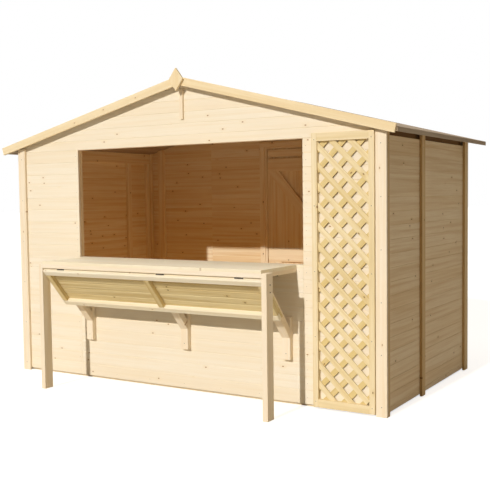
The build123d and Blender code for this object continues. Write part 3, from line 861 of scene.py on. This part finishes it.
def hatch_hinges():
    """Butt hinges: under the counter at the wall, and between the counter and the leaf.

    A leaf is a thin plate, and a barrel is a circle carried along X.
    """
    front_rail, wall_rail = boxes_of("counter_rails", 1)
    wall, wall_under = front_face, wall_rail[0][2]
    edge, edge_under = front_rail[0][1], front_rail[0][2]
    plates = (
        ((wall - HINGE_LEAF, wall_under - HINGE_PLATE), (wall - HINGE_GAP, wall_under)),
        ((wall - HINGE_PLATE, wall_under - HINGE_LEAF - WALL_PIN[1]),
         (wall, wall_under - WALL_PIN[1])),
        ((edge + EDGE_PLATE, edge_under - HINGE_PLATE),
         (edge + EDGE_PLATE + HINGE_LEAF, edge_under)),
    )
    pins = ((wall - WALL_PIN[0], wall_under - WALL_PIN[1]),
            (edge + EDGE_PIN[0], edge_under - EDGE_PIN[1]))
    barrel = HINGE_BARREL * np.concatenate(circle(HEAD_SIDES), 1)
    made = []
    for x in centre_x("bracket_battens"):
        x += HINGE_ASIDE if x < LAST_BRACKET else -HINGE_ASIDE
        left, right = x - HINGE_LENGTH / 2, x + HINGE_LENGTH / 2
        made += [bar((left, *low), (right, *high), 0, X, STEEL_EDGE, STEEL_EDGE)
                 for low, high in plates]
        made += [stick(barrel + pin, (left, right), 0, X, BARREL_EDGE, BARREL_END) for pin in pins]
    piece("hatch_hinges", "building", made, (dark_steel,))


hatch_hinges()

# Studio
FLOOR_RADIUS, FLOOR_SIDES = 80.0, 96
FLOOR_GREY, FLOOR_GLOW = "#C6BEB0", 0.76
FILL_COLOUR, FILL = "#FFE9CC", 0.12
WHITE = "#FFFFFF"
KEY_COLOUR, KEY, KEY_ANGLE, KEY_WAY = "#FFFCF8", 2.42, 1.2, (0.05, 1.0, -0.518)
TOP, TOP_ANGLE = 1.1, 60
INSIDE_COLOUR, INSIDE = "#FFB24E", 3.9
INSIDE_PLACE, INSIDE_SIZE = (0, 0.76, 0.02), (2.6, 1.2)

# Camera: its eye in metres, its turns in radians, its lens and sensor in millimetres
EYE = (3.3281, -4.6047, 1.3182)
YAW, PITCH, ROLL = -0.55078, -0.05842, -0.012767
LENS, SENSOR = 61.10, 36.0
FARTHEST = 400.0


def seen_rays(tree):
    """One where a surface is looked at directly, in a mirror or through glass, else nought."""
    rays = add(tree, "LightPath", out=None)
    seen = rays["Is Camera Ray"]
    for kind in ("Is Glossy Ray", "Is Transmission Ray"):
        seen = add(tree, "Math", {0: seen, 1: rays[kind]}, operation="MAXIMUM")
    return seen


def pale_floor():
    """Matt pale grey that lights the kiosk from below, near white where it is looked at."""
    material, tree = new_material("pale_floor")
    lit = add(tree, "BsdfDiffuse", {"Color": linear(FLOOR_GREY)})
    glow = add(tree, "Emission", {"Color": linear(WHITE), "Strength": FLOOR_GLOW})
    both = add(tree, "AddShader", {0: lit, 1: glow})
    look = add(tree, "MixShader", {0: seen_rays(tree), 1: lit, 2: both})
    add(tree, "OutputMaterial", {"Surface": look})
    return material


def studio_floor():
    """A flat disc at the height of the ground."""
    rim = FLOOR_RADIUS * np.concatenate(circle(FLOOR_SIDES), 1)
    mesh = bpy.data.meshes.new("studio_floor")
    mesh.from_pydata(np.pad(rim, ((0, 0), (0, 1))), [], [list(range(FLOOR_SIDES))])
    mesh.materials.append(pale_floor())
    floor = bpy.data.objects.new("studio_floor", mesh)
    bpy.context.scene.collection.objects.link(floor)


def studio_world():
    """A faint warm fill, white where it is looked at."""
    world = bpy.data.worlds.new("studio")
    bpy.context.scene.world = world
    world.use_nodes = True
    tree = world.node_tree
    tree.nodes.clear()
    fill = add(tree, "Background", {"Color": linear(FILL_COLOUR), "Strength": FILL})
    white = add(tree, "Background", {"Color": linear(WHITE), "Strength": 1.0})
    blend = add(tree, "MixShader", {0: seen_rays(tree), 1: fill, 2: white})
    add(tree, "OutputWorld", {"Surface": blend})


def lamp(name, kind, energy, colour, direction, place=(0, 0, 0)):
    """A studio lamp that shines along a direction."""
    light = bpy.data.lights.new(name, kind)
    light.energy = energy
    light.color = linear(colour)[:3]
    obj = bpy.data.objects.new(name, light)
    bpy.context.scene.collection.objects.link(obj)
    obj.rotation_euler = Vector(direction).to_track_quat("-Z", "Y").to_euler()
    obj.location = place
    return obj


def studio_lamps():
    """Sun from the front, a wide soft light from above, and one between the walls."""
    lamp("key", "SUN", KEY, KEY_COLOUR, KEY_WAY).data.angle = math.radians(KEY_ANGLE)
    lamp("top", "SUN", TOP, WHITE, (0, 0, -1)).data.angle = math.radians(TOP_ANGLE)
    # The sunlit ground inside sends warm light up between the walls
    bounce = lamp("inside", "AREA", INSIDE, INSIDE_COLOUR, Z, INSIDE_PLACE)
    bounce.data.shape = "RECTANGLE"
    bounce.data.size, bounce.data.size_y = INSIDE_SIZE
    bounce.visible_camera = False


def photo_camera():
    """Camera that stands where the photograph was taken.

    It looks along a direction given by yaw and pitch, and is rolled about that direction.
    """
    forward = Vector((math.sin(YAW) * math.cos(PITCH), math.cos(YAW) * math.cos(PITCH),
                      math.sin(PITCH)))
    level = Vector((math.cos(YAW), -math.sin(YAW), 0))
    upright = level.cross(forward)
    right = math.cos(ROLL) * level + math.sin(ROLL) * upright
    up = -math.sin(ROLL) * level + math.cos(ROLL) * upright
    data = bpy.data.cameras.new("camera")
    data.sensor_width = SENSOR
    data.lens = LENS
    data.clip_end = FARTHEST
    camera = bpy.data.objects.new("camera", data)
    bpy.context.scene.collection.objects.link(camera)
    turn = Matrix((right, up, -forward)).transposed().to_4x4()
    camera.matrix_world = Matrix.Translation(EYE) @ turn
    bpy.context.scene.camera = camera


studio_floor()
studio_world()
studio_lamps()
photo_camera()
bpy.context.scene.view_settings.view_transform = "Standard"
